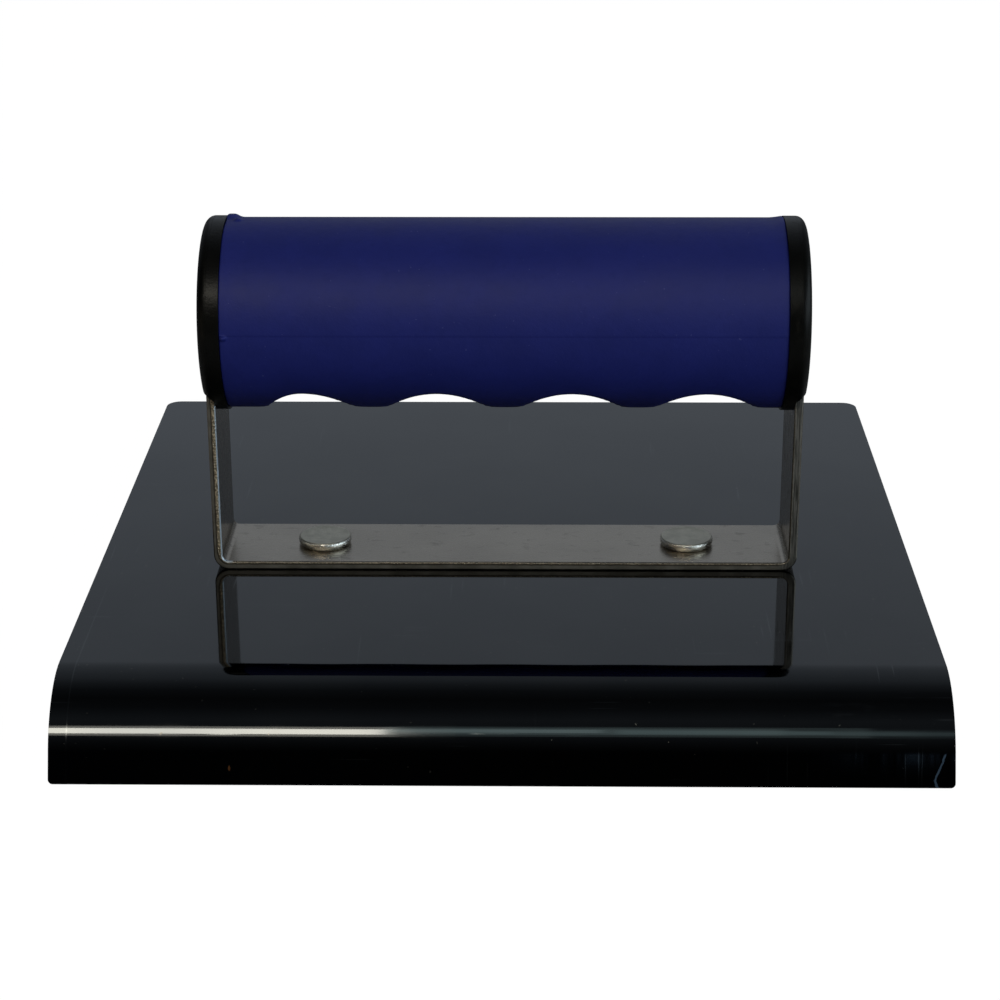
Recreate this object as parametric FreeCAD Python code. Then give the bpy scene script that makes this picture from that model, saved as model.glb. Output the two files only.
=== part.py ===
import FreeCAD, Part
import math
import os

from FreeCAD import Vector

os.makedirs("parts", exist_ok=True)

# Hand edger for concrete, in millimetres.
# The origin is on the flat underside of the blade (the sole), in the middle of the
# blade's plan. +Z is up, the turned-down lip is at -Y, and the handle runs along X.

# Blade: one steel sheet with a rolled lip along its front edge.
bladeWidth = 152.4
bladeLength = 152.4
bladeThick = 1.5
lipRadius = 15.8
lipAngle = math.radians(68.5)
lipFlat = 5.3
backCornerRadius = 3.0
lipCornerRadius = 0.8

# Bracket: steel strap bent to a U, standing on the blade.
bracketY = -9.4
bracketWidth = 108.8
strapWidth = 19.05
strapThick = 1.6
strapBendRadius = 1.2

# Handle: round bar between the bracket's legs, with a cap over each leg.
handleHeight = 47.3
gripRadius = 17.45
gripLength = 101.1
coreRadius = 8.5
flangeRadius = 17.75
flangeEdgeRadius = 0.3
handleLength = 110.8
capDomeRadius = 150.0
capRimRadius = 1.7
capFootDrop = 13.2
capFootSlope = 50.0

# Finger grooves across the underside of the grip.
grooveCount = 4
groovePitch = 24.45
grooveDepth = 5.9
grooveRadius = 11.2
grooveLand = 0.15

# Rivets that hold the bracket to the blade.
rivetSpacing = 68.6
rivetRadius = 2.4
rivetHeadRadius = 5.0
rivetHeadHeight = 1.6
rivetHeadRound = 0.6
rivetTailRadius = 3.6

# Tie rod through the handle, riveted over in the legs.
rodRadius = 3.0
rodNeckRadius = 2.1
rodTailRadius = 3.4

# Pegs that hold each end cap in the core's flange.
pegRadius = 1.5
pegCircle = 13.4
pegAngles = (20, 70, 110, 160)
pegEndGap = 0.3
fitGap = 0.05

# Worked out from the sizes above.
strapTop = bladeThick + strapThick
axisZ = bladeThick + handleHeight
legOuter = bracketWidth / 2
legInner = legOuter - strapThick
gripEnd = gripLength / 2
handleEnd = handleLength / 2
backY = bladeLength / 2
bendY = lipRadius * math.sin(lipAngle) + lipFlat * math.cos(lipAngle) - bladeLength / 2
edgeTest = 0.1


# Simple shapes

def cylinderAlongX(radius, xFrom, xTo, y=bracketY, z=axisZ):
    return Part.makeCylinder(radius, xTo - xFrom, Vector(xFrom, y, z), Vector(1, 0, 0))


def cylinderAlongZ(radius, x, zFrom, zTo):
    return Part.makeCylinder(radius, zTo - zFrom, Vector(x, bracketY, zFrom))


def strapBox(xFrom, xTo, zFrom, zTo, sideGap=0.0):
    width = strapWidth + 2 * sideGap
    return Part.makeBox(xTo - xFrom, width, zTo - zFrom, Vector(xFrom, bracketY - width / 2, zFrom))


def line(start, end):
    return Part.LineSegment(start, end).toShape()


def arc(start, middle, end):
    return Part.Arc(start, middle, end).toShape()


# Rounds the edges whose middle point passes a test.
def roundEdges(shape, radius, test):
    edges = []
    for edge in shape.Edges:
        middle = edge.valueAt((edge.FirstParameter + edge.LastParameter) / 2)
        if test(middle):
            edges.append(edge)
    return shape.makeFillet(radius, edges)


def mirrorAcrossX(shape):
    return shape.mirror(Vector(0, 0, 0), Vector(1, 0, 0))


# Blade

# Point in the blade's side profile: a depth below the top skin, an angle round the
# bend, and then a run along the straight end of the lip.
def lipPoint(depth, angle, run=0.0):
    radius = lipRadius - depth
    y = bendY - radius * math.sin(angle) - run * math.cos(angle)
    z = bladeThick - lipRadius + radius * math.cos(angle) - run * math.sin(angle)
    return Vector(-bladeWidth / 2, y, z)


def makeBlade():
    backTop = Vector(-bladeWidth / 2, backY, bladeThick)
    backSole = Vector(-bladeWidth / 2, backY, 0)
    skin = [lipPoint(0, lipAngle * part) for part in (0, 0.5, 1)]
    sole = [lipPoint(bladeThick, lipAngle * part) for part in (1, 0.5, 0)]
    skinEnd = lipPoint(0, lipAngle, lipFlat)
    soleEnd = lipPoint(bladeThick, lipAngle, lipFlat)
    outline = [
        line(backSole, backTop),
        line(backTop, skin[0]),
        arc(*skin),
        line(skin[2], skinEnd),
        line(skinEnd, soleEnd),
        line(soleEnd, sole[0]),
        arc(*sole),
        line(sole[2], backSole),
    ]
    blade = Part.Face(Part.Wire(outline)).extrude(Vector(bladeWidth, 0, 0))

    def atSide(point):
        return abs(point.x) > bladeWidth / 2 - edgeTest

    lipEnd = (skinEnd + soleEnd) / 2
    blade = roundEdges(blade, backCornerRadius, lambda p: atSide(p) and p.y > backY - edgeTest)
    blade = roundEdges(
        blade, lipCornerRadius, lambda p: atSide(p) and math.hypot(p.y - lipEnd.y, p.z - lipEnd.z) < edgeTest
    )
    for x in (-rivetSpacing / 2, rivetSpacing / 2):
        blade = blade.cut(rivetShank(x, fitGap))
    return blade


# Rivets

# Shank through the strap and the blade, with its tail flared to lie flush in the sole.
def rivetShank(x, gap=0.0):
    flare = rivetTailRadius - rivetRadius
    tail = Part.makeCone(rivetTailRadius + gap, rivetRadius + gap, flare, Vector(x, bracketY, 0))
    return cylinderAlongZ(rivetRadius + gap, x, 0, strapTop).fuse(tail)


def makeRivet(x):
    headTop = strapTop + rivetHeadHeight
    head = cylinderAlongZ(rivetHeadRadius, x, strapTop, headTop)
    head = roundEdges(head, rivetHeadRound, lambda p: p.z > headTop - edgeTest)
    return head.fuse(rivetShank(x)).removeSplitter()


# Bracket

# Channel with two rounded lower corners. One channel less a smaller one is the strap.
def channel(halfWidth, base, cornerRadius):
    block = strapBox(-halfWidth, halfWidth, base, axisZ)
    return roundEdges(
        block, cornerRadius, lambda p: abs(p.x) > halfWidth - edgeTest and p.z < base + edgeTest
    )


def makeHandleBracket():
    outside = channel(legOuter, bladeThick, strapBendRadius + strapThick)
    inside = channel(legInner, strapTop, strapBendRadius)
    strap = outside.cut(inside)
    for xFrom, xTo in ((-legOuter, -legInner), (legInner, legOuter)):
        strap = strap.fuse(cylinderAlongX(strapWidth / 2, xFrom, xTo))
    for x in (-rivetSpacing / 2, rivetSpacing / 2):
        strap = strap.cut(rivetShank(x, fitGap))
    return strap.removeSplitter().cut(makeTieRod(fitGap))


# Handle

# Rod with a shoulder at each leg, a neck through it and a tail flush with its outside.
def makeTieRod(gap=0.0):
    flare = rodTailRadius - rodNeckRadius
    rod = cylinderAlongX(rodRadius + gap, -legInner, legInner)
    rod = rod.fuse(cylinderAlongX(rodNeckRadius + gap, -legOuter, legOuter))
    for side in (-1, 1):
        start = Vector(side * legOuter, bracketY, axisZ)
        rod = rod.fuse(Part.makeCone(rodTailRadius + gap, rodNeckRadius + gap, flare, start, Vector(-side, 0, 0)))
    return rod.removeSplitter()


def pegs(radius, xFrom, xTo):
    shapes = []
    for angle in pegAngles:
        turn = math.radians(angle)
        y = bracketY + pegCircle * math.cos(turn)
        z = axisZ + pegCircle * math.sin(turn)
        shapes.append(cylinderAlongX(radius, xFrom, xTo, y, z))
    return shapes


def makeHandleCore():
    flange = cylinderAlongX(flangeRadius, gripEnd, legInner)
    flange = roundEdges(flange, flangeEdgeRadius, lambda p: p.x < gripEnd + edgeTest)
    flange = flange.cut(pegs(pegRadius + fitGap, gripEnd, legInner))
    barrel = cylinderAlongX(coreRadius, -gripEnd, gripEnd)
    core = barrel.fuse([flange, mirrorAcrossX(flange)])
    return core.cut(cylinderAlongX(rodRadius + fitGap, -legInner, legInner))


# Space under the grip: below the lands, with one round valley for each finger.
# Each valley's arc runs smoothly into the arcs of the ridges beside it.
def grooveCutter():
    ridgeZ = axisZ - gripRadius + grooveLand
    valleyZ = axisZ - gripRadius + grooveDepth
    baseZ = ridgeZ - gripRadius
    y = bracketY - gripRadius
    turn = 2 * math.atan((valleyZ - ridgeZ) / (groovePitch / 2))
    ridgeRadius = groovePitch / 2 / math.sin(turn) - grooveRadius

    def onRidge(x, angle):
        return Vector(x + ridgeRadius * math.sin(angle), y, ridgeZ + ridgeRadius * (1 - math.cos(angle)))

    def onValley(x, angle):
        return Vector(x + grooveRadius * math.sin(angle), y, valleyZ - grooveRadius * (1 - math.cos(angle)))

    firstRidge = -groovePitch * grooveCount / 2
    start = Vector(-gripEnd, y, ridgeZ)
    end = Vector(gripEnd, y, ridgeZ)
    outline = [line(start, onRidge(firstRidge, 0))]
    for number in range(grooveCount):
        left = firstRidge + number * groovePitch
        middle = left + groovePitch / 2
        right = left + groovePitch
        outline.append(arc(onRidge(left, 0), onRidge(left, turn / 2), onRidge(left, turn)))
        outline.append(arc(onValley(middle, -turn), onValley(middle, 0), onValley(middle, turn)))
        outline.append(arc(onRidge(right, -turn), onRidge(right, -turn / 2), onRidge(right, 0)))
    corners = [onRidge(-firstRidge, 0), end, Vector(gripEnd, y, baseZ), Vector(-gripEnd, y, baseZ), start]
    for first, second in zip(corners, corners[1:]):
        outline.append(line(first, second))
    return Part.Face(Part.Wire(outline)).extrude(Vector(0, 2 * gripRadius, 0))


def makeGripSleeve():
    grip = cylinderAlongX(gripRadius, -gripEnd, gripEnd).cut(grooveCutter())
    return grip.cut(cylinderAlongX(coreRadius, -gripEnd, gripEnd))


# Domed cap over the right-hand leg, with a slot that the leg stands in, a foot cut on a
# slope where the leg leaves it, and pegs that fill the holes in the core's flange.
def makeEndCap():
    rimCentre = flangeRadius - capRimRadius
    domeCentre = handleEnd - capDomeRadius
    rimX = domeCentre + math.sqrt((capDomeRadius - capRimRadius) ** 2 - rimCentre ** 2)
    rimTurn = math.atan2(rimCentre, rimX - domeCentre)

    def onDome(angle):
        return Vector(domeCentre + capDomeRadius * math.cos(angle), 0, capDomeRadius * math.sin(angle))

    def onRim(angle):
        return Vector(rimX + capRimRadius * math.cos(angle), 0, rimCentre + capRimRadius * math.sin(angle))

    corners = [onRim(math.pi / 2), Vector(legInner, 0, flangeRadius), Vector(legInner, 0, 0), onDome(0)]
    outline = [
        arc(onDome(0), onDome(rimTurn / 2), onDome(rimTurn)),
        arc(onRim(rimTurn), onRim((rimTurn + math.pi / 2) / 2), onRim(math.pi / 2)),
    ]
    for first, second in zip(corners, corners[1:]):
        outline.append(line(first, second))
    cap = Part.Face(Part.Wire(outline)).revolve(Vector(0, 0, 0), Vector(1, 0, 0), 360)
    cap.translate(Vector(0, bracketY, axisZ))

    footZ = axisZ - capFootDrop
    foot = Vector(legInner, bracketY, footZ)
    below = Part.makeBox(
        2 * handleLength, handleLength, handleLength, foot - Vector(handleLength, handleLength / 2, handleLength)
    )
    below.rotate(foot, Vector(0, 1, 0), -capFootSlope)
    cap = cap.cut(below)
    slot = strapBox(legInner, legOuter, footZ, axisZ, fitGap)
    slot = slot.fuse(cylinderAlongX(strapWidth / 2 + fitGap, legInner, legOuter))
    pegStart = gripEnd + pegEndGap
    return cap.cut(slot).fuse(pegs(pegRadius, pegStart, legInner)).removeSplitter()


def writeNode(name, shape):
    solid = shape.Solids[0] if len(shape.Solids) == 1 else shape
    solid.exportStep("parts/" + name + ".step")
    print(name, len(shape.Solids), round(shape.Volume), shape.isValid())


endCap = makeEndCap()
nodes = {
    "blade": makeBlade(),
    "handle_bracket": makeHandleBracket(),
    "rivet_left": makeRivet(-rivetSpacing / 2),
    "rivet_right": makeRivet(rivetSpacing / 2),
    "tie_rod": makeTieRod(),
    "handle_core": makeHandleCore(),
    "grip_sleeve": makeGripSleeve(),
    "end_cap_left": mirrorAcrossX(endCap),
    "end_cap_right": endCap,
}
for name, shape in nodes.items():
    writeNode(name, shape)
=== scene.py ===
import math

import bmesh
import bpy
from mathutils import Matrix, Vector


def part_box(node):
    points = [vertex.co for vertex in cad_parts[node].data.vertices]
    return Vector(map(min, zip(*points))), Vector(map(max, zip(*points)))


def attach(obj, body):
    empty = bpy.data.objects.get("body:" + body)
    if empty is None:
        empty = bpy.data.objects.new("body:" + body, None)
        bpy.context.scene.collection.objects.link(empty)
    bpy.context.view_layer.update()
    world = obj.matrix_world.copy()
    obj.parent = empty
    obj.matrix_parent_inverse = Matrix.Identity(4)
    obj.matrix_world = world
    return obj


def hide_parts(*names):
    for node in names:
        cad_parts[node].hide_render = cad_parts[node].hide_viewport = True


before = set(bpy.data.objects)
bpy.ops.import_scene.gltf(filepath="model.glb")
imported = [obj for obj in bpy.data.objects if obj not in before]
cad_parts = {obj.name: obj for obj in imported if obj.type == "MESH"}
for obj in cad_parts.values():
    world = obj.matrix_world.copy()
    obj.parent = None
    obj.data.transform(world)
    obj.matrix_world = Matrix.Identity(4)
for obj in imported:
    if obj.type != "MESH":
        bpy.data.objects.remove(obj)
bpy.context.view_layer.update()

mm = 0.001
near = 0.01 * mm         # how close a point must lie to a place to be picked there
weld = 0.002 * mm        # closer points than this are merged
print("frame loaded:", len(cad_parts), "CAD nodes")


def addPrimitive(operator, **settings):
    # everything else is deselected; the new primitive is left in edit mode, its place in its mesh
    bpy.ops.object.select_all(action="DESELECT")
    operator(**settings)
    bpy.ops.object.transform_apply(location=True, rotation=True, scale=True)
    bpy.ops.object.mode_set(mode="EDIT")


def middleOf(part):
    if isinstance(part, bmesh.types.BMVert):
        return part.co.copy()
    if isinstance(part, bmesh.types.BMFace):
        return part.calc_center_median()
    return (part.verts[0].co + part.verts[1].co) / 2


def pick(kind, test):
    # selects the vertices, edges or faces whose middle passes the test, and nothing else
    bpy.ops.mesh.select_mode(type=kind)
    bpy.ops.mesh.select_all(action="DESELECT")
    mesh = bmesh.from_edit_mesh(bpy.context.edit_object.data)
    parts = {"VERT": mesh.verts, "EDGE": mesh.edges, "FACE": mesh.faces}[kind]
    for part in parts:
        if test(middleOf(part), part):
            part.select_set(True)
    mesh.select_flush_mode()
    bmesh.update_edit_mesh(bpy.context.edit_object.data)


def pickAll():
    bpy.ops.mesh.select_all(action="SELECT")


def extrude(offset):
    bpy.ops.mesh.extrude_region_move(TRANSFORM_OT_translate={"value": offset})


def scaleAbout(centre, factors):
    bpy.ops.transform.resize(value=factors, center_override=centre)


def cut(place, normal, **settings):
    pickAll()
    bpy.ops.mesh.bisect(plane_co=place, plane_no=normal, **settings)


def cleanUp():
    pickAll()
    bpy.ops.mesh.remove_doubles(threshold=weld)
    bpy.ops.mesh.normals_make_consistent(inside=False)


def editAgain(piece):
    makeActive(piece)
    bpy.ops.object.mode_set(mode="EDIT")


def leaveEdit():
    bpy.ops.object.mode_set(mode="OBJECT")
    return bpy.context.object


def makeActive(piece):
    bpy.ops.object.select_all(action="DESELECT")
    piece.select_set(True)
    bpy.context.view_layer.objects.active = piece


def useModifier(piece, kind, **settings):
    modifier = piece.modifiers.new(kind.title(), kind)
    for name, value in settings.items():
        setattr(modifier, name, value)
    makeActive(piece)
    bpy.ops.object.modifier_apply(modifier=modifier.name)


def cutAway(piece, cutter):
    useModifier(piece, "BOOLEAN", operation="DIFFERENCE", object=cutter, solver="EXACT")
    bpy.data.objects.remove(cutter)


def roundEdges(piece, width, segments=3, degrees=40):
    useModifier(
        piece, "BEVEL", width=width, segments=segments, limit_method="ANGLE",
        angle_limit=math.radians(degrees), harden_normals=False,
    )


def smooth(piece, degrees=35, weighted=True):
    makeActive(piece)
    bpy.ops.object.shade_smooth_by_angle(angle=math.radians(degrees))
    if weighted:
        useModifier(piece, "WEIGHTED_NORMAL", keep_sharp=True, weight=50)


def finishPiece(piece, name, slot, paint, *nodes):
    piece.name = name
    piece.data.name = name
    piece.data.materials.clear()
    piece.data.materials.append(paint)
    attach(piece, "root")
    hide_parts(*nodes)
    print("made", name, "-", len(piece.data.polygons), "faces")


def bump(distance):
    # 1 at no distance, falling smoothly to 0 at a distance of 1
    return (1 - min(abs(distance), 1) ** 2) ** 2


class Wire:
    # a socket in a node tree; sums on it add Math nodes
    def __init__(self, graph, socket):
        self.graph = graph
        self.socket = socket

    def maths(self, operation, *values):
        numbered = dict(enumerate(values))
        return self.graph.node("ShaderNodeMath", {"operation": operation}, numbered)

    def __add__(self, other):
        return self.maths("ADD", self, other)

    def __sub__(self, other):
        return self.maths("SUBTRACT", self, other)

    def __rsub__(self, other):
        return self.maths("SUBTRACT", other, self)

    def __mul__(self, other):
        return self.maths("MULTIPLY", self, other)

    def __pow__(self, other):
        return self.maths("POWER", self, other)

    __radd__ = __add__
    __rmul__ = __mul__

    def size(self):
        return self.maths("ABSOLUTE", self)

    def atLeast(self, other):
        return self.maths("MAXIMUM", self, other)

    def fade(self, low, high, start=0.0, end=1.0):
        # start below low, end above high, and a smooth change between
        sockets = {"Value": self, "From Min": low, "From Max": high, "To Min": start, "To Max": end}
        return self.graph.node("ShaderNodeMapRange", {"interpolation_type": "SMOOTHSTEP"}, sockets)


class Graph:
    # the node tree of a material or of the world, with one method that adds any node to it
    def __init__(self, owner, placeFrom):
        owner.use_nodes = True
        self.tree = owner.node_tree
        self.place = self.node("ShaderNodeTexCoord", output=placeFrom)
        self.x, self.y, self.z = (self.axis(name) for name in "XYZ")

    def feed(self, socket, value):
        if isinstance(value, Wire):
            self.tree.links.new(value.socket, socket)
        else:
            socket.default_value = value

    def node(self, kind, settings=None, sockets=None, output=0):
        made = self.tree.nodes.new(kind)
        for name, value in (settings or {}).items():
            setattr(made, name, value)
        for name, value in (sockets or {}).items():
            self.feed(made.inputs[name], value)
        return Wire(self, made.outputs[output])

    def axis(self, name):
        return self.node("ShaderNodeSeparateXYZ", sockets={0: self.place}, output=name)

    def mix(self, share, first, second):
        # share is 0 for the first colour and 1 for the second
        sockets = {0: share, 6: asColour(first), 7: asColour(second)}
        return self.node("ShaderNodeMix", {"data_type": "RGBA"}, sockets, output=2)


class Paint(Graph):
    # one material, drawn in the coordinates of its piece
    def __init__(self, name):
        self.material = bpy.data.materials.new(name)
        super().__init__(self.material, "Object")
        self.shader = self.tree.nodes["Principled BSDF"]

    def noise(self, grain, detail=3.0, stretch=(1, 1, 1), shift=(0, 0, 0), twist=0.0):
        # grain is the size of one blot; stretch makes it longer along an axis
        scale = tuple(1 / (grain * longer) for longer in stretch)
        sockets = {"Vector": self.place, "Scale": scale, "Location": shift}
        mapped = self.node("ShaderNodeMapping", sockets=sockets)
        sockets = {"Vector": mapped, "Scale": 1.0, "Detail": detail, "Roughness": 0.55, "Distortion": twist}
        return self.node("ShaderNodeTexNoise", sockets=sockets, output="Fac")

    def bumps(self, height, distance, under=None):
        sockets = {"Height": height, "Distance": distance}
        if under is not None:
            sockets["Normal"] = under
        return self.node("ShaderNodeBump", sockets=sockets, output="Normal")

    def finish(self, **sockets):
        for name, value in sockets.items():
            self.feed(self.shader.inputs[name.replace("_", " ")], value)
        return self.material


def asColour(value):
    return value if isinstance(value, Wire) else (*value, 1.0)


# the frame's own measures
bladeLow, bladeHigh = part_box("blade")
bracketLow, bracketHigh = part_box("handle_bracket")
gripLow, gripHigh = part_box("grip_sleeve")
coreLow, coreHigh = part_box("handle_core")
capLow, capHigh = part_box("end_cap_right")
rivetLow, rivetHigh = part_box("rivet_right")
axisY = (coreLow.y + coreHigh.y) / 2
axisZ = (coreLow.z + coreHigh.z) / 2
legInner = coreHigh.x
strapThick = bracketHigh.x - legInner
strapTop = bladeHigh.z + strapThick
strapHalf = (bracketHigh.y - bracketLow.y) / 2


def scratches(paint, thin, length, rare, shift=(0, 0, 0)):
    # broken hairlines, long along one axis of length and thin across it
    line = paint.noise(thin, 1.0, length, shift)
    broken = paint.noise(14 * mm, 2.0, shift=shift).fade(0.50, 0.62)
    return line.fade(rare, rare + 0.05) * broken


bladeMarks = {
    "rubbed": (50 * mm, 64 * mm),            # x where the lip's streaks begin and reach full strength
    "rubbedFoot": -12.5 * mm,                # z where they have faded out
    "lipTop": -8.4 * mm,                     # z of the upper end of the streaks and of the scratch
    "scratch": (72.7 * mm, -12.3 * mm),      # x and z of the scratch's kink
    "scratchLean": 0.45,
    "edgeLine": -73.15 * mm,                 # x of a line worn beside the left edge
    "smudge": (55 * mm, 67.5 * mm),          # x of the two ends of a smudge on the bend
    "smudgeHeight": (-3.0 * mm, -1.3 * mm),  # z of its foot and top
    "rust": (-45.6 * mm, -10.8 * mm),        # x and z of a speck of rust
}


def lipMarks(paint):
    # streaks rubbed under the bend at the right-hand end, and an old bent scratch by the corner
    foot, top = bladeMarks["rubbedFoot"], bladeMarks["lipTop"]
    onLip = paint.z.fade(foot, top - 0.2 * mm) * paint.z.fade(top, top + 0.8 * mm, 1, 0)
    streaks = paint.noise(1.7 * mm, 2.0, (1, 30, 30), (3, 0, 0)).fade(0.28, 0.62)
    streaks = streaks * onLip * paint.x.fade(*bladeMarks["rubbed"])
    kinkX, kinkZ = bladeMarks["scratch"]
    wander = 0.5 * mm * (paint.noise(1.6 * mm, 2.0, shift=(8, 8, 8)) - 0.5)
    lean = bladeMarks["scratchLean"] * (paint.z - kinkZ).size()
    line = (paint.x + wander - lean - kinkX).size().fade(0.10 * mm, 0.34 * mm, 1, 0)
    scratch = line * paint.z.fade(top, top + 0.6 * mm, 1, 0)
    return (0.40 * streaks).atLeast(0.8 * scratch)


def edgeLine(paint):
    line = (paint.x - bladeMarks["edgeLine"]).size().fade(0.04 * mm, 0.16 * mm, 0.8, 0)
    return line * paint.y.fade(-24 * mm, -36 * mm) * paint.noise(9 * mm, 2.0).fade(0.30, 0.6)


def bendSmudge(paint):
    (left, right), (foot, top) = bladeMarks["smudge"], bladeMarks["smudgeHeight"]
    across = paint.x.fade(left - 2 * mm, left + 2 * mm)
    across = across * paint.x.fade(right - 1.5 * mm, right + 1.5 * mm, 1, 0)
    upward = paint.z.fade(foot - 0.4 * mm, foot + 0.4 * mm)
    upward = upward * paint.z.fade(top - 0.3 * mm, top + 0.3 * mm, 1, 0)
    return across * upward * paint.noise(1.2 * mm, 2.0, (4, 1, 1), (1, 1, 9)).fade(0.50, 0.68)


def rustSpeck(paint):
    x, z = bladeMarks["rust"]
    reach = ((paint.x - x) ** 2 + (0.5 * (paint.z - z)) ** 2) ** 0.5
    return reach.fade(0.12 * mm, 0.34 * mm, 1, 0)


def bluedSteelPaint():
    paint = Paint("bluedSteel")
    cloud = paint.noise(30 * mm, 3.0)
    smear = paint.noise(12 * mm, 4.0, (1, 3, 1), (0, 7, 0), 0.6).fade(0.45, 0.75)
    along = scratches(paint, 0.5 * mm, (60, 1, 1), 0.70)
    across = scratches(paint, 0.5 * mm, (1, 70, 40), 0.70, (5, 5, 5))
    marks = along.atLeast(across).atLeast(edgeLine(paint)).atLeast(0.5 * bendSmudge(paint))
    rubbed = lipMarks(paint)
    rust = rustSpeck(paint)
    dust = paint.noise(0.9 * mm, 1.0, shift=(6, 2, 4)).fade(0.76, 0.80)
    colour = paint.mix(cloud.fade(0.35, 0.65), (0.0325, 0.0345, 0.036), (0.037, 0.039, 0.040))
    colour = paint.mix(marks * 0.25, colour, (0.16, 0.17, 0.17))
    colour = paint.mix(rubbed, colour, (0.12, 0.19, 0.29))
    colour = paint.mix(dust * 0.3, colour, (0.20, 0.18, 0.15))
    colour = paint.mix(rust * 0.8, colour, (0.20, 0.075, 0.02))
    rough = 0.045 + 0.035 * smear + 0.12 * marks + 0.42 * rubbed + 0.2 * dust + 0.3 * rust
    normal = paint.bumps(paint.noise(28 * mm, 1.0), 0.03 * mm)
    return paint.finish(Base_Color=colour, Roughness=rough, Metallic=1.0, Normal=normal)


strapMarks = {
    "tornGlint": 0.26 * mm,               # depth from the inner face to which the sheared sides are torn and carry the painted gold highlight
    "tornGlintLeft": 0.42 * mm,           # how much deeper that is up the left leg
    "tornGlintUneven": 0.16 * mm,         # unevenness of its limit
    "leftRise": (2 * mm, 6 * mm),    # z over which the left leg's share grows
    "highlightWidth": 1.6 * mm,           # reach along x of the painted bluish-white highlight on the left leg's inner corner
    "highlightDepth": (0.16 * mm, 0.32 * mm),
    "highlightBack": (0.55 * mm, 0.35 * mm),
}


def strapPlace(paint):
    # depth from the inner face, and shares of the left leg, the right leg and the sheared sides
    outX = (paint.x.size() - (legInner - bracket["bend"])).atLeast(0.0)
    outZ = (strapTop + bracket["bend"] - paint.z).atLeast(0.0)
    depth = (outX ** 2 + outZ ** 2) ** 0.5 - bracket["bend"]
    leftLeg = (paint.x + bracketHigh.x - 2.5 * mm).fade(0.0, 1.5 * mm, 1, 0)
    leftLeg = leftLeg * paint.z.fade(*strapMarks["leftRise"])
    rightLeg = paint.x.fade(bracketHigh.x - 4 * mm, bracketHigh.x - 2 * mm)
    side = (paint.y - axisY).size().fade(strapHalf - 0.06 * mm, strapHalf - 0.01 * mm)
    return depth, leftLeg, rightLeg, side


def rolledColour(paint, stains):
    cloud = paint.noise(14 * mm, 4.0, (1.5, 1, 1.5))
    specks = paint.noise(0.5 * mm, 2.0, shift=(2, 2, 2)).fade(0.70, 0.76)
    colour = paint.mix(cloud.fade(0.3, 0.7), (0.284, 0.252, 0.208), (0.328, 0.292, 0.241))
    colour = paint.mix(stains * 0.30, colour, (0.20, 0.185, 0.16))
    return paint.mix(specks * 0.5, colour, (0.10, 0.09, 0.08))


def shearedColour(paint, drag, rightLeg):
    colour = paint.mix(drag.fade(0.3, 0.7), (0.22, 0.205, 0.175), (0.34, 0.32, 0.28))
    brushed = paint.noise(0.17 * mm, 3.0, (1, 1, 26), (7, 0, 7)).fade(0.36, 0.64)
    return paint.mix(rightLeg, colour, paint.mix(brushed, (0.09, 0.087, 0.078), (0.31, 0.30, 0.28)))


def paintedCornerHighlight(paint, depth):
    # painted highlight: the left leg's inner corner, coloured bluish-white
    start, end = strapMarks["highlightBack"]
    cornerHighlight = (paint.x + legInner - strapMarks["highlightWidth"]).fade(0.0, 0.5 * mm, 1, 0)
    cornerHighlight = cornerHighlight * depth.fade(*strapMarks["highlightDepth"], 1, 0)
    return cornerHighlight * (axisY - paint.y).fade(strapHalf - start, strapHalf - end)


def bareSteelPaint():
    # rolled strap with satin faces and rounded edges; its sheared sides are torn next to the inner
    # face, deeper up the left leg, and hardly at all on the right leg; the torn band carries a painted gold
    # highlight above a painted shade line, and the left leg's inner corner a painted bluish-white highlight
    paint = Paint("bareSteel")
    depth, leftLeg, rightLeg, side = strapPlace(paint)
    rolled = paint.noise(0.25 * mm, 3.0, (24, 1, 24))
    stains = paint.noise(1.8 * mm, 4.0, (1.6, 1, 1.6), (9, 1, 0), 0.5).fade(0.56, 0.74)
    uneven = strapMarks["tornGlintUneven"] * paint.noise(1.5 * mm, 2.0, shift=(3, 9, 3))
    reach = strapMarks["tornGlint"] + strapMarks["tornGlintLeft"] * leftLeg + uneven
    # the torn band: bumped below, and coloured here with a painted gold highlight
    tornGlint = (depth - reach).fade(-0.04 * mm, 0.10 * mm, 1, 0) * (1 - 0.85 * rightLeg)
    # painted shade: the mask of a thin near-black line just below the torn band
    paintedShadeLine = (depth - reach - 0.16 * mm).size().fade(0.04 * mm, 0.18 * mm, 1, 0) * (1 - rightLeg)
    grit = paint.noise(0.22 * mm, 3.0, (1, 1, 2), (4, 4, 4))
    drag = paint.noise(0.16 * mm, 3.0, (20, 1, 14), (0, 3, 3))
    shine = paint.noise(0.30 * mm, 2.0, (1.3, 1, 1.3), (1, 7, 3)).fade(0.40, 0.64)
    # painted shade: that line is coloured near-black
    sheared = paint.mix(paintedShadeLine * 0.75, shearedColour(paint, drag, rightLeg), (0.05, 0.04, 0.03))
    # painted highlight: bright warm gold over the torn band, sparkling where shine is high
    sheared = paint.mix(tornGlint * 0.9, sheared, paint.mix(shine, (0.34, 0.28, 0.20), (0.95, 0.80, 0.58)))
    cornerHighlight = paintedCornerHighlight(paint, depth)
    colour = paint.mix(side, rolledColour(paint, stains), sheared)
    # painted highlight: bluish-white over the left leg's inner corner
    colour = paint.mix(cornerHighlight * 0.85, colour, (0.80, 0.90, 1.0))
    rough = 0.22 + 0.10 * rolled + 0.12 * stains + side * (0.30 + 0.12 * grit) + 0.2 * cornerHighlight
    fine = paint.bumps(rolled + 0.6 * stains, 0.006 * mm)
    normal = paint.bumps(side * (tornGlint * (0.8 * grit + shine) + 0.25 * drag), 0.15 * mm, fine)
    return paint.finish(Base_Color=colour, Roughness=rough, Metallic=1.0, Normal=normal)


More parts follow.
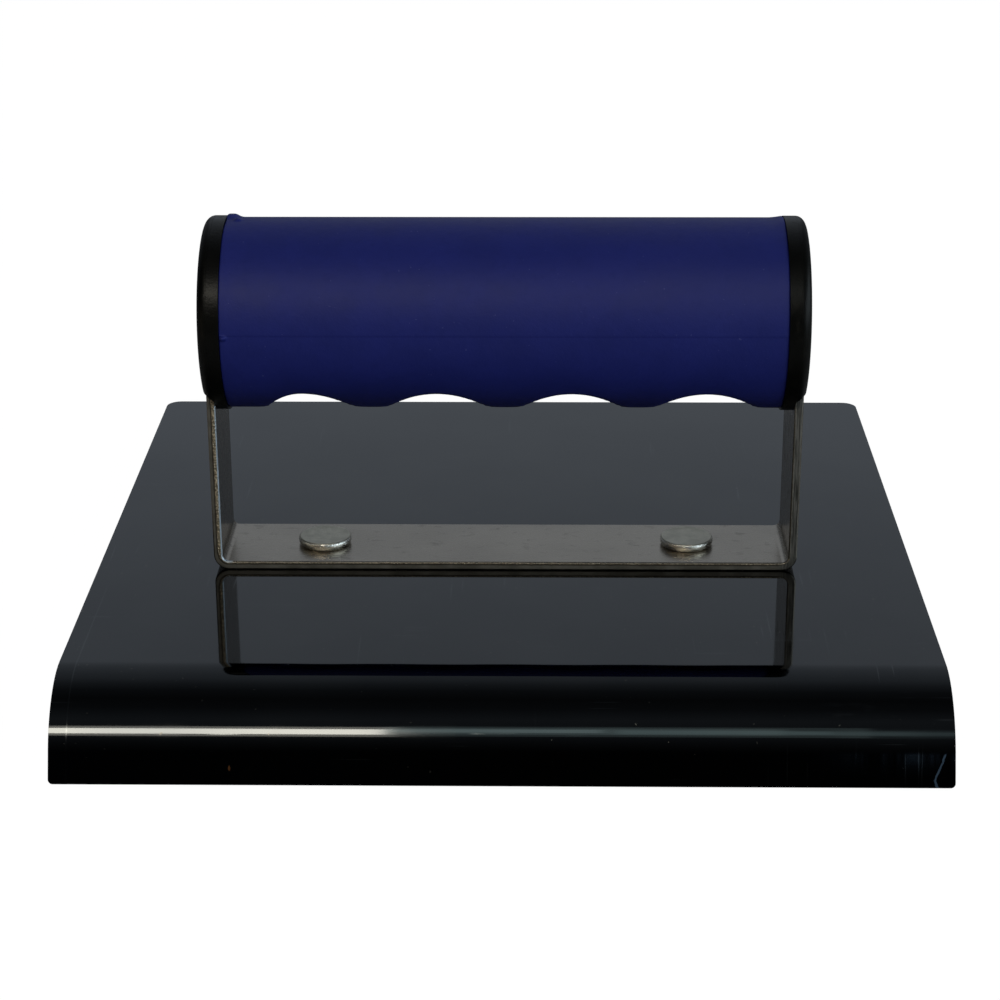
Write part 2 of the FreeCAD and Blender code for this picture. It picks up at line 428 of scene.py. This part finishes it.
def zincPaint():
    # struck heads: grainy on top, bright and lumpy round the side
    paint = Paint("zincSteel")
    cloud = paint.noise(2.2 * mm, 4.0)
    sand = paint.noise(0.20 * mm, 2.0, shift=(1, 4, 1)).fade(0.35, 0.65)
    pits = paint.noise(0.28 * mm, 3.0)
    lumps = paint.noise(0.8 * mm, 2.0, shift=(3, 3, 3))
    side = (strapTop + rivet["crest"] - 0.10 * mm - paint.z).fade(0.0, 0.12 * mm)
    colour = paint.mix(cloud.fade(0.35, 0.65), (0.42, 0.40, 0.325), (0.53, 0.505, 0.415))
    colour = paint.mix(sand * 0.35, colour, (0.30, 0.285, 0.23))
    colour = paint.mix(side, colour, (0.92, 0.90, 0.84))
    rough = 0.34 + 0.12 * pits - 0.23 * side
    normal = paint.bumps(pits + 0.5 * sand + 1.6 * lumps, 0.045 * mm)
    return paint.finish(Base_Color=colour, Roughness=rough, Metallic=1.0, Normal=normal)


def blackPlasticPaint():
    paint = Paint("blackPlastic")
    cloud = paint.noise(6 * mm, 4.0)
    grain = paint.noise(0.35 * mm, 3.0)
    rub = paint.noise(2.5 * mm, 4.0, shift=(3, 1, 2)).fade(0.55, 0.75)
    colour = paint.mix(cloud.fade(0.35, 0.65), (0.0018, 0.0018, 0.0015), (0.0034, 0.0034, 0.0028))
    colour = paint.mix(rub * 0.5, colour, (0.009, 0.008, 0.006))
    rough = 0.32 + 0.08 * cloud + 0.10 * rub
    normal = paint.bumps(grain + 0.8 * rub, 0.026 * mm)
    paint.finish(Specular_IOR_Level=0.16)
    return paint.finish(Base_Color=colour, Roughness=rough, Normal=normal)


def blueRubberPaint():
    paint = Paint("blueRubber")
    cloud = paint.noise(9 * mm, 4.0)
    blotch = paint.noise(26 * mm, 3.0, (2, 1, 1), (2, 0, 1))
    grain = paint.noise(0.35 * mm, 3.0)
    mottle = paint.noise(1.6 * mm, 3.0, shift=(5, 5, 5))
    dust = paint.noise(0.7 * mm, 1.0, shift=(1, 2, 3)).fade(0.76, 0.80)
    # painted shade: a thin darker line along the parting line
    seamShade = (paint.z - axisZ - seamRise(paint.y)).size().fade(0.05 * mm, 0.16 * mm, 1, 0)
    colour = paint.mix(cloud.fade(0.3, 0.7), (0.0095, 0.0175, 0.192), (0.0120, 0.0208, 0.222))
    colour = paint.mix(blotch.fade(0.45, 0.72, 0, 0.6), colour, (0.019, 0.027, 0.205))
    colour = paint.mix(mottle.fade(0.5, 0.8, 0, 0.35), colour, (0.006, 0.014, 0.175))
    colour = paint.mix(seamShade * 0.4, colour, (0.003, 0.008, 0.15))
    colour = paint.mix(dust * 0.3, colour, (0.14, 0.15, 0.40))
    lower = (paint.z - axisZ - seamRise(paint.y)).fade(-0.1 * mm, 0.1 * mm, 1, 0)
    rough = 0.49 + 0.10 * cloud + 0.06 * mottle + 0.05 * lower
    normal = paint.bumps(grain + 1.4 * mottle, 0.03 * mm)
    paint.finish(Specular_IOR_Level=0.37)
    return paint.finish(Base_Color=colour, Roughness=rough, Normal=normal)


def floorPaint():
    # a pale floor that looks near white, yet throws little light back up
    paint = Paint("paleFloor")
    cloud = paint.noise(0.4, 2.0)
    colour = paint.mix(cloud, (0.44, 0.44, 0.44), (0.46, 0.46, 0.46))
    paint.finish(Base_Color=colour, Roughness=0.8)
    seen = paint.node("ShaderNodeLightPath", output="Is Camera Ray")
    glow = paint.node("ShaderNodeEmission", sockets={"Color": (1, 1, 1, 1), "Strength": studio["floorGlow"]})
    sockets = {0: seen * studio["floorShare"], 1: Wire(paint, paint.shader.outputs[0]), 2: glow}
    both = paint.node("ShaderNodeMixShader", sockets=sockets)
    paint.feed(paint.tree.nodes["Material Output"].inputs["Surface"], both)
    return paint.material


rivet = {
    "x": (rivetLow.x + rivetHigh.x) / 2,
    "crest": rivetHigh.z - strapTop,      # height of the head's rim
    "foot": 4.45 * mm,                    # radius where the head meets the strap
    "radius": (rivetHigh.x - rivetLow.x) / 2,
    "waist": 0.95 * mm,                   # height of the widest part of the side
    "rim": 0.38 * mm,                     # how far the side turns in over the waist
    "struck": ((4.35 * mm, 0.03 * mm), (3.9 * mm, 0.09 * mm), (3.0 * mm, 0.11 * mm), (1.3 * mm, 0.08 * mm)),
    "shankRadius": 2.4 * mm,
    "tailRadius": 3.6 * mm,
    "tailEdge": 0.02 * mm,                # height of the tail's straight edge
    "holeGap": 0.05 * mm,                 # how much wider its hole is all round
    "overrun": 1 * mm,                    # how far the hole's cutter stands up over the strap
    "sides": 96,
}


def rivetSolid(x, gap=0.0, head=True):
    # the shank runs down through the strap and the blade, and its tail is flared flush in the sole
    flare = rivet["tailRadius"] - rivet["shankRadius"]
    foot = rivet["tailEdge"] + gap
    addPrimitive(
        bpy.ops.mesh.primitive_cylinder_add, vertices=rivet["sides"], radius=rivet["tailRadius"] + gap,
        depth=foot, location=(x, axisY, foot / 2 - gap),
    )
    pick("FACE", lambda p, part: part.normal.z > 0.5)
    radius = rivet["tailRadius"] + gap
    height = foot - gap

    def step(newRadius, newHeight):
        nonlocal radius, height
        extrude((0, 0, newHeight - height))
        scaleAbout((x, axisY, 0), (newRadius / radius, newRadius / radius, 1))
        radius, height = newRadius, newHeight

    step(rivet["shankRadius"] + gap, flare)
    step(rivet["shankRadius"] + gap, strapTop + (0 if head else rivet["overrun"]))
    if head:
        swell = rivet["radius"] - rivet["foot"]
        for degrees in range(-90, 91, 15):
            turn = math.radians(degrees)
            reach = swell if degrees < 0 else rivet["rim"]
            rise = rivet["waist"] if degrees < 0 else rivet["crest"] - rivet["waist"]
            newRadius = rivet["radius"] - reach * (1 - math.cos(turn))
            step(newRadius, strapTop + rivet["waist"] + rise * math.sin(turn))
        for newRadius, drop in rivet["struck"]:
            step(newRadius, rivetHigh.z - drop)
    cleanUp()
    return leaveEdit()


blade = {
    "width": bladeHigh.x - bladeLow.x,
    "thick": bladeHigh.z,
    "lipRadius": 15.8 * mm,
    "lipAngle": math.radians(68.5),
    "lipFlat": 5.3 * mm,
    "bendSteps": 48,
    "flatBand": 1 * mm,      # a band beside the bend that keeps the reflections in the flat straight
    "backCorner": 3.0 * mm,
    "lipCorner": 0.8 * mm,
    "edgeRound": 0.22 * mm,
}


def makeBlade():
    angle = blade["lipAngle"]
    drop = Vector((0, -math.cos(angle), -math.sin(angle))) * blade["lipFlat"]
    bendY = bladeLow.y + blade["lipRadius"] * math.sin(angle) - drop.y
    top = blade["thick"]
    length = bladeHigh.y - bendY
    middle = (0, bendY + length / 2, top)
    addPrimitive(bpy.ops.mesh.primitive_plane_add, size=1, location=middle)
    scaleAbout(middle, (blade["width"], length, 1))
    pick("EDGE", lambda p, part: p.y < bendY + near)
    bpy.ops.mesh.spin(
        steps=blade["bendSteps"], angle=-angle, center=(0, bendY, top - blade["lipRadius"]), axis=(1, 0, 0)
    )
    bpy.ops.mesh.extrude_edges_move(TRANSFORM_OT_translate={"value": drop})
    pickAll()
    bpy.ops.mesh.remove_doubles(threshold=weld)
    cut((0, bendY + blade["flatBand"], 0), (0, 1, 0))
    lipEnd = min(vertex.co.z for vertex in bmesh.from_edit_mesh(bpy.context.edit_object.data).verts)
    half = blade["width"] / 2 - near
    pick("VERT", lambda p, part: abs(p.x) > half and p.y > bladeHigh.y - near)
    bpy.ops.mesh.bevel(offset=blade["backCorner"], segments=10, affect="VERTICES")
    pick("VERT", lambda p, part: abs(p.x) > half and p.z < lipEnd + near)
    bpy.ops.mesh.bevel(offset=blade["lipCorner"], segments=6, affect="VERTICES")
    turnSheet(1)
    piece = leaveEdit()
    useModifier(piece, "SOLIDIFY", thickness=blade["thick"], offset=-1, use_even_offset=True)
    for side in (-1, 1):
        cutAway(piece, rivetSolid(side * rivet["x"], rivet["holeGap"], head=False))
    roundEdges(piece, blade["edgeRound"])
    smooth(piece, 30)
    finishPiece(piece, "bladeSheet", "blued_steel", bluedSteel, "blade")


def turnSheet(upward):
    # turns an open sheet so that its largest face looks up (1) or down (-1)
    pickAll()
    bpy.ops.mesh.normals_make_consistent(inside=False)
    sheet = bmesh.from_edit_mesh(bpy.context.edit_object.data)
    if max(sheet.faces, key=lambda face: face.calc_area()).normal.z * upward < 0:
        bpy.ops.mesh.flip_normals()


bracket = {
    "bend": 1.2 * mm,            # radius inside the bends
    "bendSteps": 10,
    "topFlat": 0.02 * mm,        # half the flat left between the rounded corners on top of a leg
    "outerEdge": 0.36 * mm,      # rounding of the edges outside
    "innerEdge": 0.34 * mm,      # and inside, where the light catches it
}


def strapDepth(p):
    # how deep a point lies in the strap, from its inner face
    outX = max(abs(p.x) - (legInner - bracket["bend"]), 0)
    outZ = max(strapTop + bracket["bend"] - p.z, 0)
    return math.hypot(outX, outZ) - bracket["bend"]


def makeBracket():
    outer = bracket["bend"] + strapThick
    half = bracketHigh.x - outer
    base = bladeHigh.z
    addPrimitive(bpy.ops.mesh.primitive_plane_add, size=1, location=(0, axisY, base))
    scaleAbout((0, axisY, base), (2 * half, 2 * strapHalf, 1))
    for side in (-1, 1):
        pick("EDGE", lambda p, part: p.x * side > half - near and p.z < base + near)
        bpy.ops.mesh.spin(
            steps=bracket["bendSteps"], angle=math.pi / 2 * side, center=(side * half, axisY, base + outer),
            axis=(0, 1, 0),
        )
        rise = (0, 0, bracketHigh.z - base - outer)
        bpy.ops.mesh.extrude_edges_move(TRANSFORM_OT_translate={"value": rise})
    pickAll()
    bpy.ops.mesh.remove_doubles(threshold=weld)
    pick("VERT", lambda p, part: p.z > bracketHigh.z - near)
    bpy.ops.mesh.bevel(offset=strapHalf - bracket["topFlat"], segments=16, affect="VERTICES")
    turnSheet(-1)
    piece = leaveEdit()
    useModifier(piece, "SOLIDIFY", thickness=strapThick, offset=-1, use_even_offset=True)
    for side in (-1, 1):
        cutAway(piece, rivetSolid(side * rivet["x"], rivet["holeGap"], head=False))
    editAgain(piece)
    for depth, width in ((strapThick, bracket["outerEdge"]), (0, bracket["innerEdge"])):
        pick("EDGE", lambda p, part: (
            abs(strapDepth(p) - depth) < 0.03 * mm and abs(abs(p.y - axisY) - strapHalf) < near
        ))
        bpy.ops.mesh.bevel(offset=width, segments=6, affect="EDGES")
    leaveEdit()
    smooth(piece, 30)
    finishPiece(piece, "strapBracket", "bare_steel", bareSteel, "handle_bracket")


grip = {
    "radius": (gripHigh.y - gripLow.y) / 2,
    "bore": 8.5 * mm,
    "sides": 192,
    "spans": 192,                # divisions along the grip
    "groovePitch": 24.45 * mm,
    "grooveDepth": 5.9 * mm,
    "grooveRadius": 11.2 * mm,
    "land": 0.15 * mm,
    "firstSqueeze": 1.35,        # the first groove is steeper on its outer side
    "softness": 1.0 * mm,
    "endRound": 0.3 * mm,
    "seamRise": 0.9 * mm,        # the parting line is this far above the axis in front, and below it behind
    "seamStep": 0.05 * mm,       # the lower half stands back by this
    "seamRows": (-0.03 * mm, 0.03 * mm, 0.4 * mm, -0.4 * mm),
    "skin": 0.2 * mm,            # depth to which points belong to the skin
    # moulding flash: x, turn from the front over the top, reach along, reach around, height
    "flash": (
        (-0.0500, 100, 2.4, 3.0, 0.60),
        (-0.0484, 90, 0.8, 1.1, 0.34),
        (-0.0499, 1.8, 0.8, 0.6, 0.60),
    ),
    "swells": (                  # broad low ones at the ends, in the same measures
        (0.0505, 95, 2.0, 7.0, 0.26),
        (-0.0505, 70, 1.0, 4.0, 0.14),
        (-0.0505, 34, 0.8, 5.0, 0.12),
        (0.0505, 40, 0.8, 5.0, 0.12),
    ),
}


def seamRise(y):
    # the grip sits slightly turned on its core, so its parting line is tilted
    return (axisY - y) * (grip["seamRise"] / grip["radius"])


def underside(x):
    # height over the axis of the grooved underside: round valleys that run into round ridges
    half = grip["groovePitch"] / 2
    ridge = -grip["radius"] + grip["land"]
    valley = -grip["radius"] + grip["grooveDepth"]
    turn = 2 * math.atan((valley - ridge) / half)
    ridgeRadius = half / math.sin(turn) - grip["grooveRadius"]
    if x < -3 * half:
        x = -3 * half + (x + 3 * half) * grip["firstSqueeze"]
    if abs(x) > 4 * half:
        return ridge
    offset = abs((x / half) % 2 - 1) * half
    if offset < grip["grooveRadius"] * math.sin(turn):
        return valley - grip["grooveRadius"] + math.sqrt(grip["grooveRadius"] ** 2 - offset ** 2)
    return ridge + ridgeRadius - math.sqrt(ridgeRadius ** 2 - (half - offset) ** 2)


def turnAround(p):
    # angle of a point around the grip, from the front over the top
    return math.atan2(p.z - axisZ, axisY - p.y)


def nearFlash(p):
    for x, degrees, along, around, height in grip["flash"]:
        gapAround = (turnAround(p) - math.radians(degrees)) * grip["radius"]
        if abs(p.x - x) < (along + 0.4) * mm and abs(gapAround) < (around + 0.4) * mm:
            return True
    return False


def shapeGrip(p):
    # moves one point of the plain cylinder's skin to the moulded shape
    turn = turnAround(p)
    rise = 0.0
    if p.z - axisZ < seamRise(p.y):
        rise -= grip["seamStep"]
    for x, degrees, along, around, height in grip["flash"] + grip["swells"]:
        gapAround = (turn - math.radians(degrees)) * grip["radius"] / (around * mm)
        rise += height * mm * min(1, 1.5 * bump((p.x - x) / (along * mm)) * bump(gapAround))
    p.y -= rise * math.cos(turn)
    p.z += rise * math.sin(turn)
    if p.z < axisZ:
        lowest = underside(p.x)
        gap = p.z - axisZ - lowest
        p.z = axisZ + lowest + (gap + math.hypot(gap, grip["softness"] / 2)) / 2


def makeGrip():
    length = gripHigh.x - gripLow.x
    end = length / 2 - near
    centre = (0, axisY, axisZ)
    addPrimitive(
        bpy.ops.mesh.primitive_cylinder_add, vertices=grip["sides"], radius=grip["radius"], depth=length,
        location=centre, rotation=(0, math.pi / 2, 0),
    )
    # rows of edges beside the parting line carry its step
    tilt = grip["seamRise"] / grip["radius"]
    for gap in grip["seamRows"]:
        cut((0, axisY, axisZ + gap), (0, tilt, 1))
    pick("FACE", lambda p, part: abs(p.x) > end)
    extrude((0, 0, 0))
    ratio = grip["bore"] / grip["radius"]
    scaleAbout(centre, (1, ratio, ratio))
    bpy.ops.mesh.bridge_edge_loops()
    cleanUp()

    def onSkin(p):
        return math.hypot(p.y - axisY, p.z - axisZ) > grip["radius"] - grip["skin"]

    pick("EDGE", lambda p, part: abs(p.x) > end and onSkin(p))
    bpy.ops.mesh.bevel(offset=grip["endRound"], segments=4, affect="EDGES")
    pick("EDGE", lambda p, part: part.calc_length() > length / 2 and onSkin(p))
    bpy.ops.mesh.subdivide(number_cuts=grip["spans"] - 1)
    # a finer mesh where the flash stands up
    pick("FACE", lambda p, part: onSkin(p) and abs(p.x) < end and nearFlash(p))
    bpy.ops.mesh.subdivide(number_cuts=2)
    piece = leaveEdit()
    for vertex in piece.data.vertices:
        if onSkin(vertex.co):
            shapeGrip(vertex.co)
    smooth(piece, 50, weighted=False)
    finishPiece(piece, "gripSleeve", "blue_rubber", blueRubber, "grip_sleeve")


core = {
    "flange": (coreHigh.y - coreLow.y) / 2,
    "barrel": 8.5 * mm,
    "bore": 3.05 * mm,
    "sides": 160,
    "edgeRound": 0.05 * mm,
}
cap = {
    "radius": (capHigh.y - capLow.y) / 2,
    "end": capHigh.x,
    "dome": 150 * mm,
    "rim": 1.7 * mm,
    "rimSteps": 8,
    "domeSteps": 12,
    "foot": axisZ - 13.2 * mm,   # where the cap ends beside the leg
    "footSlope": math.radians(50),
    "slotDepth": strapThick,
    "slotGap": 0.1 * mm,
    "sides": 160,
    "edgeRound": 0.05 * mm,
}


def makeCore():
    centre = (0, axisY, axisZ)
    addPrimitive(
        bpy.ops.mesh.primitive_cylinder_add, vertices=core["sides"], radius=core["flange"],
        depth=coreHigh.x - coreLow.x, location=centre, rotation=(0, math.pi / 2, 0),
    )
    pick("FACE", lambda p, part: abs(part.normal.x) > 0.5)
    extrude((0, 0, 0))
    ratio = core["bore"] / core["flange"]
    scaleAbout(centre, (1, ratio, ratio))
    bpy.ops.mesh.bridge_edge_loops()
    for x in (gripLow.x, gripHigh.x):
        cut((x, 0, 0), (1, 0, 0))
    # the faces between the flanges are drawn in to make the barrel
    pick("FACE", lambda p, part: abs(p.x) < 1 * mm and math.hypot(p.y - axisY, p.z - axisZ) > core["barrel"])
    extrude((0, 0, 0))
    ratio = core["barrel"] / core["flange"]
    scaleAbout(centre, (1, ratio, ratio))
    cleanUp()
    piece = leaveEdit()
    roundEdges(piece, core["edgeRound"])
    smooth(piece, 30)
    finishPiece(piece, "handleCore", "black_plastic", blackPlastic, "handle_core")


def legShape():
    # the leg's rounded top, as a cutter for the cap's slot
    half = strapHalf + cap["slotGap"]
    addPrimitive(
        bpy.ops.mesh.primitive_cylinder_add, vertices=64, radius=half, depth=2 * cap["slotDepth"],
        location=(legInner, axisY, axisZ), rotation=(0, math.pi / 2, 0),
    )
    pick("FACE", lambda p, part: p.z < axisZ - near and abs(part.normal.x) < 0.5)
    extrude((0, 0, -2 * half))
    cleanUp()
    return leaveEdit()


def makeCap(side):
    # the cap is turned up ring by ring: round the rim, then over the dome to its middle
    domeCentre = cap["end"] - cap["dome"]
    rimCentre = cap["radius"] - cap["rim"]
    rimX = domeCentre + math.sqrt((cap["dome"] - cap["rim"]) ** 2 - rimCentre ** 2)
    rimTurn = math.atan2(rimCentre, rimX - domeCentre)
    rings = []
    for number in range(1, cap["rimSteps"] + 1):
        turn = math.pi / 2 + (rimTurn - math.pi / 2) * number / cap["rimSteps"]
        rings.append((rimX + cap["rim"] * math.cos(turn), rimCentre + cap["rim"] * math.sin(turn)))
    for number in range(1, cap["domeSteps"]):
        turn = rimTurn * (1 - number / cap["domeSteps"])
        rings.append((domeCentre + cap["dome"] * math.cos(turn), cap["dome"] * math.sin(turn)))
    addPrimitive(
        bpy.ops.mesh.primitive_cylinder_add, vertices=cap["sides"], radius=cap["radius"],
        depth=rimX - legInner, location=((rimX + legInner) / 2, axisY, axisZ), rotation=(0, math.pi / 2, 0),
    )
    pick("FACE", lambda p, part: part.normal.x > 0.5)
    x, radius = rimX, cap["radius"]
    for nextX, nextRadius in rings:
        extrude((nextX - x, 0, 0))
        scaleAbout((nextX, axisY, axisZ), (1, nextRadius / radius, nextRadius / radius))
        x, radius = nextX, nextRadius
    extrude((cap["end"] - x, 0, 0))
    bpy.ops.mesh.merge(type="CENTER")
    slope = cap["footSlope"]
    upward = (-math.sin(slope), 0, math.cos(slope))
    cut((legInner, axisY, cap["foot"]), upward, clear_inner=True, use_fill=True)
    cleanUp()
    piece = leaveEdit()
    cutAway(piece, legShape())
    roundEdges(piece, cap["edgeRound"], 3, 50)
    if side < 0:
        editAgain(piece)
        pickAll()
        scaleAbout((0, 0, 0), (-1, 1, 1))
        bpy.ops.mesh.normals_make_consistent(inside=False)
        leaveEdit()
    smooth(piece, 35)
    name = "Left" if side < 0 else "Right"
    finishPiece(piece, "endCap" + name, "black_plastic", blackPlastic, "end_cap_" + name.lower())


studio = {
    "floorSize": 6.0,
    "floorGap": 0.05 * mm,
    "floorGlow": 1.20,
    "floorShare": 0.82,
    "stripY": -1.03,
    "strips": (                     # from x, to x, z, height, brightness, colour
        (-0.42, -0.098, 0.895, 0.15, 19.0, (1.0, 0.93, 0.80)),
        (-0.44, -0.09, 0.895, 0.28, 2.8, (1.0, 0.93, 0.80)),
        (-0.10, 0.05, 0.950, 0.10, 1.3, (0.80, 1.0, 0.97)),
        (-0.10, 0.18, 0.940, 0.19, 0.6, (0.76, 1.0, 0.98)),
        (-0.10, 0.24, 0.928, 0.29, 0.42, (0.76, 1.0, 0.98)),
        (0.06, 0.21, 0.925, 0.10, 0.4, (0.72, 1.0, 1.0)),
        (0.06, 0.27, 0.915, 0.14, 0.25, (0.72, 1.0, 1.0)),
        (0.18, 0.42, 0.895, 0.09, 0.30, (0.72, 0.98, 1.0)),
        (0.24, 0.42, 0.890, 0.17, 0.18, (0.72, 0.98, 1.0)),
        (0.21, 0.42, 0.885, 0.26, 0.10, (0.72, 0.98, 1.0)),
    ),
    "aim": (0.0, -0.03, 0.02),
    # soft panels beside the tool: place, width, height, brightness, colour
    "panels": (
        ((1.07, -0.43, 0.36), 1.45, 0.56, 2.2, (0.78, 0.92, 1.0)),
        ((-1.0, -0.75, 0.10), 0.60, 0.36, 0.35, (1.0, 0.82, 0.52)),
    ),
    "sky": (                        # share of the way from the front to the back, brightness
        (0.0, 0.005), (0.03, 0.01), (0.10, 0.09), (0.24, 0.14), (0.36, 0.06), (0.47, 0.04),
        (0.58, 0.08), (0.66, 0.17), (0.74, 0.31), (0.83, 0.38), (0.95, 0.38), (1.0, 0.40),
    ),
    "skyTint": (0.90, 1.0, 1.14),
    "wall": (0.24, 0.34),           # how far to each side the bright wall reaches
    "besideWall": 0.35,
}
view = {
    "place": (0.00645, -0.44833, 0.18506),
    "pitch": math.radians(21.533),
    "yaw": math.radians(-0.977),
    "roll": math.radians(-0.203),
    "lens": 89.91,
}


def addFloor():
    # the tool rests on its lip and its back edge, so the floor is tilted under it
    run = bladeHigh.y - bladeLow.y
    tilt = math.atan2(-bladeLow.z, run)
    addPrimitive(bpy.ops.mesh.primitive_plane_add, size=studio["floorSize"], location=(0, 0, 0))
    floor = leaveEdit()
    turn = Matrix.Rotation(tilt, 4, "X")
    floor.data.transform(Matrix.Translation((0, bladeHigh.y, -studio["floorGap"])) @ turn)
    floor.name = "floor"
    floor.data.materials.append(floorPaint())


def addLight(place, width, height, bright, colour, aim):
    # an area light, whose brightness is the radiance of its face
    light = bpy.data.lights.new("panel", "AREA")
    light.shape = "RECTANGLE"
    light.size, light.size_y = width, height
    light.energy = bright * math.pi * width * height
    light.color = colour
    lamp = bpy.data.objects.new("panel", light)
    lamp.location = place
    lamp.rotation_euler = (Vector(aim) - lamp.location).to_track_quat("-Z", "Y").to_euler()
    bpy.context.scene.collection.objects.link(lamp)


def addLights():
    for start, end, z, height, bright, colour in studio["strips"]:
        x = (start + end) / 2
        addLight((x, studio["stripY"], z), end - start, height, bright, colour, (x, *studio["aim"][1:]))
    for panel in studio["panels"]:
        addLight(*panel, studio["aim"])


def addSky():
    world = bpy.data.worlds.new("studioSky")
    bpy.context.scene.world = world
    graph = Graph(world, "Generated")
    share = graph.node("ShaderNodeMapRange", sockets={"Value": graph.y, "From Min": -1.0})
    ramp = graph.node("ShaderNodeValToRGB", sockets={0: share})
    stops = ramp.socket.node.color_ramp.elements
    while len(stops) < len(studio["sky"]):
        stops.new(0.5)
    for stop, (position, bright) in zip(stops, studio["sky"]):
        stop.position = position
        stop.color = (*(bright * tint for tint in studio["skyTint"]), 1)
    # the bright wall behind is only so wide
    width = graph.x.size().fade(*studio["wall"], 1, studio["besideWall"])
    dim = graph.node("ShaderNodeVectorMath", {"operation": "SCALE"}, {0: ramp, "Scale": width})
    # seen straight on, the room is as pale as the floor
    seen = graph.node("ShaderNodeLightPath", output="Is Camera Ray")
    graph.feed(graph.tree.nodes["Background"].inputs[0], graph.mix(seen, dim, (1, 1, 1)))


def addCamera():
    lens = bpy.data.cameras.new("camera")
    lens.lens = view["lens"]
    lens.sensor_width = 36
    lens.clip_start = 0.01
    camera = bpy.data.objects.new("camera", lens)
    turn = Matrix.Rotation(-view["yaw"], 4, "Z")
    turn = turn @ Matrix.Rotation(math.pi / 2 - view["pitch"], 4, "X") @ Matrix.Rotation(view["roll"], 4, "Z")
    camera.matrix_world = Matrix.Translation(view["place"]) @ turn
    bpy.context.scene.collection.objects.link(camera)
    bpy.context.scene.camera = camera


bluedSteel = bluedSteelPaint()
bareSteel = bareSteelPaint()
zincSteel = zincPaint()
blackPlastic = blackPlasticPaint()
blueRubber = blueRubberPaint()
print("materials made")

makeBlade()
makeBracket()
for side, name in ((-1, "Left"), (1, "Right")):
    head = rivetSolid(side * rivet["x"])
    smooth(head, 40)
    finishPiece(head, "rivet" + name, "zinc_steel", zincSteel, "rivet_" + name.lower())
makeGrip()
makeCore()
for side in (-1, 1):
    makeCap(side)
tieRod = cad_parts["tie_rod"]
tieRod.data.materials.clear()
tieRod.data.materials.append(zincSteel)

addFloor()
addLights()
addSky()
addCamera()
bpy.context.scene.view_settings.view_transform = "Standard"
print("studio set")
